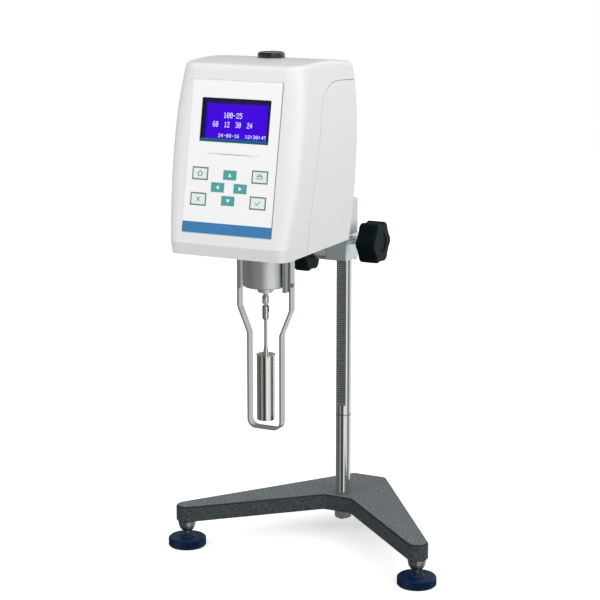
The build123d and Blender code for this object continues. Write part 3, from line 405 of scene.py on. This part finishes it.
# %% Satin metals
slider_metal = steel("satin_slider_metal", srgb(222, 234, 234), 0.36, (0.2, 0.2, 3.0), marks=0.015)
housing_metal = steel("satin_housing_metal", srgb(246, 249, 250), 0.52, ROUND_Z, marks=0.012)
collar_metal = steel("satin_collar_metal", srgb(150, 155, 153), 0.36, ROUND_Z, marks=0.03)
cast_metal = steel("cast_floor_metal", srgb(190, 190, 192), 0.5, (1.0, 1.0, 1.0), per_mm=0.8, marks=0.08)
motor_metal = steel("motor_can_metal", srgb(165, 166, 168), 0.36, ROUND_Z)
bronze = steel("bearing_bronze", srgb(196, 160, 98), 0.35, ROUND_Z)
spring_brass = steel("spring_brass", srgb(205, 178, 105), 0.3, (1.0, 1.0, 1.0))
dress(slider_metal, "slider_block")
dress(housing_metal, "spindle_housing")
dress(cast_metal, "floor_casting", "motor_bridge")
dress(motor_metal, "motor")
dress(bronze, "spindle_bearings")
dress(spring_brass, "encoder_lower", "hairspring", "drive_shaft")

# %% [markdown]
# The levelling feet's collars end in a dark ring. It is a mask on the height, laid over the turned
# metal's own colour, and the same mask takes the metal away.

# %% Collars
COLLAR_RING = 1.4
COLLAR_RING_EDGE = 0.05

collar_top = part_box("level_collars")[1][2] * 1000
ring = ((collar_metal.axes()[2] - (collar_top - COLLAR_RING)) / COLLAR_RING_EDGE).clamp()
turned_part = Wire(collar_metal, collar_metal.shader.inputs["Base Color"].links[0].from_socket)
collar_metal.drive("Base Color", collar_metal.blend(ring, turned_part, srgb(26, 27, 29)))
collar_metal.drive("Metallic", 1 - ring)
dress(collar_metal, "level_collars")

# %% [markdown]
# ## Moulded plastic
#
# Moulded plastic is never quite smooth: spark-eroded moulds leave a fine leathery grain. The grain's
# depth and the gloss tell the head's satin white, the knobs' near black and the feet's navy apart.

# %% A family of plastics
def moulded(name, colour, roughness, grain_mm=0.5, depth=0.02, shade=0.94, **constants):
    """Plastic with a fine moulded grain and a faint unevenness of colour."""
    finish = Finish(name, colour, roughness, **constants)
    grain = finish.noise(1.0 / grain_mm, detail=2.0, rough=0.6)
    cloud = finish.noise(0.03, detail=2.0)
    darker = tuple(shade * c for c in colour)
    finish.drive("Base Color", finish.blend(cloud, darker, colour))
    finish.drive("Roughness", roughness + (grain - 0.5) * 0.12)
    finish.bump(grain, depth)
    return finish


head_white = moulded("satin_white_plastic", srgb(233, 233, 234), 0.34, grain_mm=0.6, depth=0.008, shade=0.975,
                     coat_weight=0.25, coat_roughness=0.2)
cap_grey = moulded("light_grey_enamel", srgb(222, 226, 228), 0.4, depth=0.015)
knob_black = moulded("knob_black_plastic", srgb(12, 24, 28), 0.45, grain_mm=0.4, depth=0.02,
                     specular_ior_level=0.05)
foot_navy = moulded("foot_navy_plastic", srgb(4, 34, 66), 0.42, grain_mm=0.4, depth=0.02,
                    specular_ior_level=0.3)
vial_black = moulded("vial_black_plastic", srgb(26, 26, 28), 0.16, depth=0.005, coat_weight=0.4,
                     coat_roughness=0.08)
fitting_black = moulded("fitting_black_plastic", srgb(30, 31, 33), 0.42, depth=0.02)
dress(head_white, "front_shell", "rear_cover")
dress(cap_grey, "slider_cap")
dress(knob_black, "lift_knob", "lock_knob")
dress(foot_navy, "level_disc_left", "level_disc_right", "level_disc_rear")
dress(vial_black, "vial_ring")
dress(fitting_black, "power_entry", "switch_rocker", "serial_port")

# %% [markdown]
# ## The front panel's own axes
#
# The panel leans back with the head. Two numbers place anything on it: how far right of its middle, and
# how far up its slope. In a material they come from Object coordinates; in Python from a small function.

# %% Panel axes
PANEL_SLOPE = 0.192  # back per mm up
PANEL_LEAN = math.atan(PANEL_SLOPE)
PANEL_UP = Vector((0.0, math.sin(PANEL_LEAN), math.cos(PANEL_LEAN)))
PANEL_OUT = Vector((0.0, -math.cos(PANEL_LEAN), math.sin(PANEL_LEAN)))
panel_low, panel_high = (Vector(corner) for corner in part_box("panel_overlay"))
PANEL_THICK = 0.0008
panel_middle = (panel_low + panel_high) / 2 + PANEL_OUT * PANEL_THICK / 2


def on_panel(right_mm, up_mm, out_mm=0.0):
    """Point of the panel's face, in metres."""
    return (panel_middle + Vector((right_mm, 0, 0)) / 1000
            + PANEL_UP * up_mm / 1000 + PANEL_OUT * out_mm / 1000)


def along(finish, wire, direction):
    """Part of a vector that points along a direction."""
    return finish.node("ShaderNodeVectorMath", {"operation": "DOT_PRODUCT"}, (
        wire, tuple(direction)), out="Value")


def panel_axes(finish):
    """How far right and how far up the panel a point of the surface lies, in mm."""
    return finish.axes()[0], along(finish, finish.millimetres, PANEL_UP) - panel_middle.dot(PANEL_UP) * 1000


def bar_mask(place, low, high, soft=0.15):
    """1 between low and high, with an edge of soft mm."""
    return ((place - low) / soft).clamp() * ((high - place) / soft).clamp()


def within(distance, half, soft=0.1):
    """1 where a distance is less than half, with an edge of soft mm."""
    return ((half - distance) / soft).clamp()


print("panel middle", [round(v, 5) for v in panel_middle])

# %% [markdown]
# ## The printed overlay
#
# The overlay is a polyester film printed from behind: white, with a blue band along its foot and a hair
# line under the screen that fades at both ends. A dark line along its right and top edges is painted
# shadow, for the shade in the gap between the film and its recess. Every one of them is a mask made from
# the panel's axes, so the print and the painted shadow stay sharp at any distance.

# %% Overlay print
BAND = (-70.6, -60.2)
HAIR_LINE_UP = 3.0
HAIR_LINE_HALF = 31.0
HAIR_LINE_HALF_THICK = 0.45
FILM_HALF_WIDTH = 46.3
FILM_HALF_HEIGHT = 70.65
# Widths of the painted shadow lines for the film's recess gap.
GAP_SHADOW_WIDTHS = (0.75, 0.45)  # seen at the right and at the top

film = Finish("printed_film", srgb(246, 246, 246), 0.3, coat_weight=0.3, coat_roughness=0.12)
right, up = panel_axes(film)
tooth = film.noise(2.2, detail=2.0)
paper = film.blend(tooth, srgb(243, 243, 244), srgb(248, 248, 248))
band = bar_mask(up, *BAND)
hair = bar_mask(up, HAIR_LINE_UP - HAIR_LINE_HALF_THICK, HAIR_LINE_UP + HAIR_LINE_HALF_THICK, 0.3) * (
    1 - abs(right) / HAIR_LINE_HALF).clamp()
# Painted shadow: masks for the dark lines along the film's right and top edges, where its recess gap is in
# shade.
right_gap_shadow = bar_mask(right, FILM_HALF_WIDTH - GAP_SHADOW_WIDTHS[0], FILM_HALF_WIDTH + 1.0)
top_gap_shadow = bar_mask(up, FILM_HALF_HEIGHT - GAP_SHADOW_WIDTHS[1], FILM_HALF_HEIGHT + 1.0)
inked = film.blend(band, paper, film.blend(tooth, srgb(44, 118, 174), srgb(54, 128, 184)))
inked = film.blend((hair * 1.6).clamp(), inked, srgb(98, 140, 160))
# The painted gap shadow is laid over the print, grey at the top and darker at the right.
inked = film.blend(top_gap_shadow * 0.45, inked, srgb(150, 152, 155))
inked = film.blend(right_gap_shadow * 0.8, inked, srgb(105, 108, 112))
film.drive("Base Color", inked)
film.drive("Roughness", 0.28 + tooth * 0.08)
film.bump(tooth, 0.006)
dress(film, "panel_overlay")

# %% [markdown]
# ## The screen
#
# A backlit liquid crystal screen glows evenly, a little brighter along its upper and lower edges, where
# the light enters. Only the lit area of its front face glows, so that no blue light leaks out through
# the head's seams. A faint ruling stands for the rows and columns of the crystal.

# %% The lit screen
screen_low, screen_high = (Vector(corner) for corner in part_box("display_frame"))
screen_middle = (screen_low + screen_high) / 2
SCREEN_UP = (screen_middle - panel_middle).dot(PANEL_UP) * 1000
SCREEN_OPEN = (64.4, 32.0)
SCREEN_DROP = 0.7
SCREEN_MARGIN = 1.0  # the glow goes this far under the frame
RULING = 0.5
SCREEN_GLOW = 0.92

glow_blue = Finish("lit_screen", srgb(20, 0, 70), 0.3, specular_ior_level=0.1)
right, up = panel_axes(glow_blue)
from_middle = up - (SCREEN_UP - SCREEN_DROP)
lines = (abs(((right / RULING).math("FRACT")) - 0.5) * 2.0) * 0.5 + abs(((up / RULING).math("FRACT")) - 0.5)
haze = glow_blue.noise(0.05, detail=2.0)
rim = (abs(from_middle) / (SCREEN_OPEN[1] / 2)).math("POWER", 8.0).clamp()
lamp_blue = glow_blue.blend((haze * 0.6 + rim * 0.35 - 0.2).clamp(), srgb(66, 0, 232), srgb(84, 16, 252))
lit_area = within(abs(right), SCREEN_OPEN[0] / 2 + SCREEN_MARGIN, 0.2) * within(
    abs(from_middle), SCREEN_OPEN[1] / 2 + SCREEN_MARGIN, 0.2)
outward = along(glow_blue, glow_blue.node("ShaderNodeNewGeometry", out="Normal"), PANEL_OUT)
front_only = lit_area * ((outward - 0.5) * 8.0).clamp()
ruled = glow_blue.blend((lines * 0.16).clamp(), lamp_blue, srgb(58, 0, 205))
glow_blue.drive("Emission Color", glow_blue.blend(front_only, (0.0, 0.0, 0.0), ruled))
glow_blue.drive("Base Color", glow_blue.blend(haze, srgb(8, 0, 30), srgb(14, 0, 44)))
glow_blue.shader.inputs["Emission Strength"].default_value = SCREEN_GLOW
dress(glow_blue, "display_module")

# %% [markdown]
# The screen's frame is dark blue, with a teal sill along its foot. The window over both is clear, and its
# border is printed behind in the frame's two colours: the Alpha is nearly 1 on the print and nearly 0 on
# the clear part, where only a faint smear is left.

# %% Frame and window
FRAME_SILL = 16.9  # from the screen's middle down to the teal
WINDOW_SILL = 17.5
GLASS_HALF = (35.35, 20.05)
GLASS_BORDER = 1.7
PRINT_COVER = 0.96
CLEAR_COVER = 0.02

bezel = Finish("screen_bezel", srgb(24, 20, 70), 0.35, specular_ior_level=0.2)
right, up = panel_axes(bezel)
sill = 1 - ((up - (SCREEN_UP - FRAME_SILL)) / 0.2).clamp()
grain = bezel.noise(2.0)
frame_blue = bezel.blend(grain, srgb(20, 16, 60), srgb(34, 30, 88))
bezel.drive("Base Color", bezel.blend(sill, frame_blue, srgb(34, 120, 150)))
bezel.bump(grain, 0.01)
dress(bezel, "display_frame")

window = Finish("clear_window", (0.02, 0.02, 0.05), 0.06, ior=1.45)
right, up = panel_axes(window)
smear = window.noise(0.05, detail=3.0)
clear_part = within(abs(right), GLASS_HALF[0] - GLASS_BORDER) * within(
    abs(up - SCREEN_UP), GLASS_HALF[1] - GLASS_BORDER)
border = 1 - clear_part
window_sill = 1 - ((up - (SCREEN_UP - WINDOW_SILL)) / 0.2).clamp()
window.drive("Base Color", window.blend(window_sill, srgb(12, 10, 48), srgb(26, 96, 122)))
window.drive("Alpha", border * PRINT_COVER + CLEAR_COVER + smear * 0.02)
dress(window, "display_glass")

# %% [markdown]
# ## Keys
#
# The keys' caps come through the film and stand a tenth of a millimetre proud of it. The four at the sides
# are pale mint with a grey outline; the outline is a mask that folds the panel twice, so one material
# serves all four. The arrow keys are teal.

# %% Key caps
KEY_MIDDLE = (-0.9, -27.5)
SIDE_KEY_PITCH = (30.8, 11.8)
SIDE_KEY = (16.0, 11.4)
OUTLINE = 0.95

mint = Finish("mint_key", srgb(226, 240, 235), 0.35, coat_weight=0.2, coat_roughness=0.15)
right, up = panel_axes(mint)
folded_right = abs(abs(right - KEY_MIDDLE[0]) - SIDE_KEY_PITCH[0])
folded_up = abs(abs(up - KEY_MIDDLE[1]) - SIDE_KEY_PITCH[1])
inner = within(folded_right, SIDE_KEY[0] / 2 - OUTLINE, 0.12) * within(
    folded_up, SIDE_KEY[1] / 2 - OUTLINE, 0.12)
tooth = mint.noise(2.2)
pale_mint = mint.blend(tooth, srgb(220, 236, 231), srgb(230, 243, 239))
mint.drive("Base Color", mint.blend(inner, srgb(112, 122, 122), pale_mint))
mint.bump(tooth, 0.006)
dress(mint, "key_upper_left", "key_upper_right", "key_lower_left", "key_lower_right")

teal = Finish("teal_key", srgb(66, 164, 160), 0.35, coat_weight=0.2, coat_roughness=0.15)
tooth = teal.noise(2.2)
teal.drive("Base Color", teal.blend(tooth, srgb(60, 156, 153), srgb(74, 170, 167)))
teal.bump(tooth, 0.006)
dress(teal, "key_up", "key_down", "key_left", "key_right")

# %% [markdown]
# ## The bubble level
#
# The capsule is clear and holds a yellow-green spirit, with one bubble left in it.

# %% Spirit level
spirit = Finish("level_spirit", srgb(206, 226, 120), 0.05, ior=1.4, transmission_weight=0.75)
swirl = spirit.noise(0.15)
spirit.drive("Base Color", spirit.blend(swirl, srgb(200, 222, 110), srgb(214, 232, 132)))
dress(spirit, "vial_capsule")

# %% [markdown]
# ## Boards inside the head
#
# The boards show only when the head is opened: green laminate with a faint weave and paler tracks.

# %% Circuit boards
TRACK_PITCH = 5.08

board = Finish("board_laminate", srgb(20, 96, 52), 0.4)
weave = board.noise(1.5, stretch=(1.0, 1.0, 0.3))
tracks = bar_mask(abs((board.axes()[0] / TRACK_PITCH).math("FRACT") - 0.5), 0.40, 0.60, 0.02)
laminate = board.blend(weave, srgb(16, 84, 46), srgb(26, 106, 58))
board.drive("Base Color", board.blend(tracks * 0.35, laminate, srgb(90, 150, 96)))
board.bump(weave, 0.02)
dress(board, "main_board", "keypad_board")
print("nodes still bare:", sorted(set(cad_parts) - dressed))

# %% [markdown]
# ## Symbols on the keys
#
# Printed ink stands a few hundredths of a millimetre proud. Each symbol is a flat outline given that
# thickness, so it stays crisp however close the camera comes. An outline is a list of corners in mm from
# the key's middle.

# %% Flat ink shapes
INK = 0.06
KEY_PROUD = 0.1


def ink_plate(name, outlines, middle, base_out, finish, body):
    """Thin raised print made of closed outlines in the panel's plane."""
    built = bmesh.new()
    for outline in outlines:
        foot_ring, top_ring = ([built.verts.new(on_panel(middle[0] + u, middle[1] + v, out))
                                for u, v in outline] for out in (base_out, base_out + INK))
        built.faces.new(top_ring)
        built.faces.new(list(reversed(foot_ring)))
        for i in range(len(outline)):
            j = (i + 1) % len(outline)
            built.faces.new((foot_ring[i], foot_ring[j], top_ring[j], top_ring[i]))
    bmesh.ops.recalc_face_normals(built, faces=built.faces)
    mesh = bpy.data.meshes.new(name)
    built.to_mesh(mesh)
    built.free()
    mesh.materials.append(finish.material)
    piece = bpy.data.objects.new(name, mesh)
    bpy.context.scene.collection.objects.link(piece)
    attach(piece, body)


def stroke(points, width, closed=False):
    """Outlines of the straight bars that join the points."""
    bars = []
    ends = points + [points[0]] if closed else points
    for (u0, v0), (u1, v1) in zip(ends, ends[1:]):
        length = math.hypot(u1 - u0, v1 - v0)
        du, dv = (u1 - u0) / length * width / 2, (v1 - v0) / length * width / 2
        bars.append([(u0 - du + dv, v0 - dv - du), (u1 + du + dv, v1 + dv - du),
                     (u1 + du - dv, v1 + dv + du), (u0 - du - dv, v0 - dv + du)])
    return bars


print("ink stands", INK, "mm proud")

# %% [markdown]
# The arrow keys carry a white triangle, turned a quarter at a time. The side keys carry plain line signs:
# a roof, a case, a cross and a tick.

# %% Arrow and side-key symbols
ARROW = 1.9
ARROW_PITCH = (11.7, 11.8)
THIN, BOLD = 0.55, 0.6

white_ink = moulded("white_ink", srgb(244, 248, 247), 0.4, depth=0.003, shade=0.98)
grey_ink = moulded("grey_ink", srgb(70, 78, 80), 0.4, depth=0.003)

for name, turns in (("up", 0), ("left", 1), ("down", 2), ("right", 3)):
    quarter = turns * math.pi / 2
    corners = [(-ARROW, -0.8 * ARROW), (ARROW, -0.8 * ARROW), (0.0, 0.9 * ARROW)]
    turned = [(u * math.cos(quarter) - v * math.sin(quarter), u * math.sin(quarter) + v * math.cos(quarter))
              for u, v in corners]
    step = (-math.sin(quarter), math.cos(quarter))
    middle = (KEY_MIDDLE[0] + round(step[0]) * ARROW_PITCH[0],
              KEY_MIDDLE[1] + round(step[1]) * ARROW_PITCH[1])
    ink_plate(f"arrow_{name}", [turned], middle, KEY_PROUD, white_ink, f"key_{name}")

SYMBOLS = {  # key: (side, level, bars)
    "upper_left": (-1, 1, stroke([(-2.6, 0.1), (0, 2.3), (2.6, 0.1)], THIN)
                   + stroke([(-1.7, 0.2), (-1.7, -2.2), (1.7, -2.2), (1.7, 0.2)], THIN)),
    "upper_right": (1, 1, stroke([(-2.6, -1.3), (-2.6, 0.9), (2.6, 0.9), (2.6, -1.3)], THIN, closed=True)
                    + stroke([(-1.5, 0.9), (-1.5, 2.4), (1.5, 2.4), (1.5, 0.9)], THIN)),
    "lower_left": (-1, -1, stroke([(-1.7, -1.7), (1.7, 1.7)], BOLD)
                   + stroke([(-1.7, 1.7), (1.7, -1.7)], BOLD)),
    "lower_right": (1, -1, stroke([(-2.2, 0.0), (-0.6, -1.6), (2.4, 1.8)], BOLD)),
}
for name, (side, level, outlines) in SYMBOLS.items():
    middle = (KEY_MIDDLE[0] + side * SIDE_KEY_PITCH[0], KEY_MIDDLE[1] + level * SIDE_KEY_PITCH[1])
    ink_plate(f"symbol_{name}", outlines, middle, KEY_PROUD, grey_ink, f"key_{name}")
print("symbols on", 4 + len(SYMBOLS), "keys")

# %% [markdown]
# ## Numbers on the screen
#
# The screen shows figures made of dots. Each figure is a grid of five by seven; a dot that is lit becomes
# a point, and Geometry Nodes put a small square plate on every point. That is the right tool for
# something repeated hundreds of times: one shape, one list of places, and a size that can be changed in
# one input. Realize Instances turns the result into real faces at the end.

# %% Figures as rows of dots
FIGURES = {
    "0": "01110 10001 10011 10101 11001 10001 01110", "1": "00100 01100 00100 00100 00100 00100 01110",
    "2": "01110 10001 00001 00110 01000 10000 11111", "3": "11110 00001 00001 01110 00001 00001 11110",
    "4": "00010 00110 01010 10010 11111 00010 00010", "5": "11111 10000 11110 00001 00001 10001 01110",
    "6": "01110 10000 10000 11110 10001 10001 01110", "7": "11111 00001 00010 00100 01000 01000 01000",
    "8": "01110 10001 10001 01110 10001 10001 01110", "9": "01110 10001 10001 01111 00001 00001 01110",
    ".": "00000 00000 00000 00000 00000 01100 01100", ":": "00000 01100 01100 00000 01100 01100 00000",
    "-": "00000 00000 00000 01110 00000 00000 00000", " ": "00000 00000 00000 00000 00000 00000 00000",
}
SCREEN_LINES = (  # figures, left edge and foot from the screen's middle, dot pitch across and up
    ("100-25", -13.4, 3.4, 0.54, 0.72),
    ("60  12  30  24", -24.0, -5.0, 0.49, 0.72),
    ("24-08-16  12:30:45", -17.6, -14.4, 0.46, 0.46),
)
MODULE_FACE = -2.9


def dot_places(text, left, foot, pitch_across, pitch_up):
    places = []
    for index, figure in enumerate(text):
        for row, dots in enumerate(FIGURES[figure].split()):
            for column, lit in enumerate(dots):
                if lit == "1":
                    places.append((left + (index * 6 + column) * pitch_across, foot + (6 - row) * pitch_up))
    return places


print(len(FIGURES), "figures for", len(SCREEN_LINES), "lines")

# %% [markdown]
# The tree takes the plate's size and lean as named inputs. A modifier keeps its inputs under the socket's
# identifier, so the names are looked up before the modifier runs.

# %% The dot tree
DOT_INPUTS = {"Dot width": 0.0004, "Dot height": 0.0005, "Dot thickness": 0.00008, "Lean": 0.0}


def dot_tree(finish):
    """Geometry Nodes: a thin square plate, facing out of the panel, on every point."""
    tree = bpy.data.node_groups.new("screen_dots", "GeometryNodeTree")
    tree.is_modifier = True
    tree.interface.new_socket("Geometry", in_out="INPUT", socket_type="NodeSocketGeometry")
    for label, value in DOT_INPUTS.items():
        tree.interface.new_socket(label, in_out="INPUT", socket_type="NodeSocketFloat").default_value = value
    tree.interface.new_socket("Geometry", in_out="OUTPUT", socket_type="NodeSocketGeometry")
    add, link = tree.nodes.new, tree.links.new
    given, result = add("NodeGroupInput"), add("NodeGroupOutput")
    size, turn_by = add("ShaderNodeCombineXYZ"), add("ShaderNodeCombineXYZ")
    plate = add("GeometryNodeMeshCube")
    spread, real = add("GeometryNodeInstanceOnPoints"), add("GeometryNodeRealizeInstances")
    inked = add("GeometryNodeSetMaterial")
    link(given.outputs["Dot width"], size.inputs[0])
    link(given.outputs["Dot thickness"], size.inputs[1])
    link(given.outputs["Dot height"], size.inputs[2])
    link(size.outputs[0], plate.inputs["Size"])
    link(given.outputs["Lean"], turn_by.inputs[0])
    link(given.outputs["Geometry"], spread.inputs["Points"])
    link(plate.outputs["Mesh"], spread.inputs["Instance"])
    link(turn_by.outputs[0], spread.inputs["Rotation"])
    link(spread.outputs[0], real.inputs[0])
    link(real.outputs[0], inked.inputs[0])
    inked.inputs["Material"].default_value = finish.material
    link(inked.outputs[0], result.inputs[0])
    return tree


def grow(name, points, tree, settings, body):
    """Run a tree on loose points and keep the result as a plain mesh that rides on a body."""
    seed = bpy.data.meshes.new(name + "_points")
    seed.from_pydata(points, [], [])
    holder = bpy.data.objects.new(name + "_points", seed)
    bpy.context.scene.collection.objects.link(holder)
    modifier = holder.modifiers.new("grow", "NODES")
    modifier.node_group = tree
    sockets = {item.name: item.identifier for item in tree.interface.items_tree if item.in_out == "INPUT"}
    for label, value in settings.items():
        modifier[sockets[label]] = value
    seen_by = holder.evaluated_get(bpy.context.evaluated_depsgraph_get())
    mesh = bpy.data.meshes.new_from_object(seen_by)
    mesh.name = name
    bpy.data.objects.remove(holder)
    piece = bpy.data.objects.new(name, mesh)
    bpy.context.scene.collection.objects.link(piece)
    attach(piece, body)
    print(name, len(points), "dots,", len(mesh.polygons), "faces")


# %% Light the figures
DOT_GLOW = 0.55
DOT_FILL = 0.9  # a dot fills this share of its pitch

dot_light = Finish("lit_dots", srgb(225, 220, 255), 0.4)
shimmer = dot_light.noise(0.4)
dot_light.drive("Emission Color", dot_light.blend(shimmer, srgb(205, 200, 255), srgb(240, 238, 255)))
dot_light.shader.inputs["Emission Strength"].default_value = DOT_GLOW
dots = dot_tree(dot_light)
for number, (text, left, foot, across, up_step) in enumerate(SCREEN_LINES):
    places = [on_panel(u, v + SCREEN_UP - SCREEN_DROP, MODULE_FACE)
              for u, v in dot_places(text, left, foot, across, up_step)]
    grow(f"screen_line_{number + 1}", places, dots, {
        "Dot width": across * DOT_FILL / 1000, "Dot height": up_step * DOT_FILL / 1000, "Lean": -PANEL_LEAN},
        "carriage")
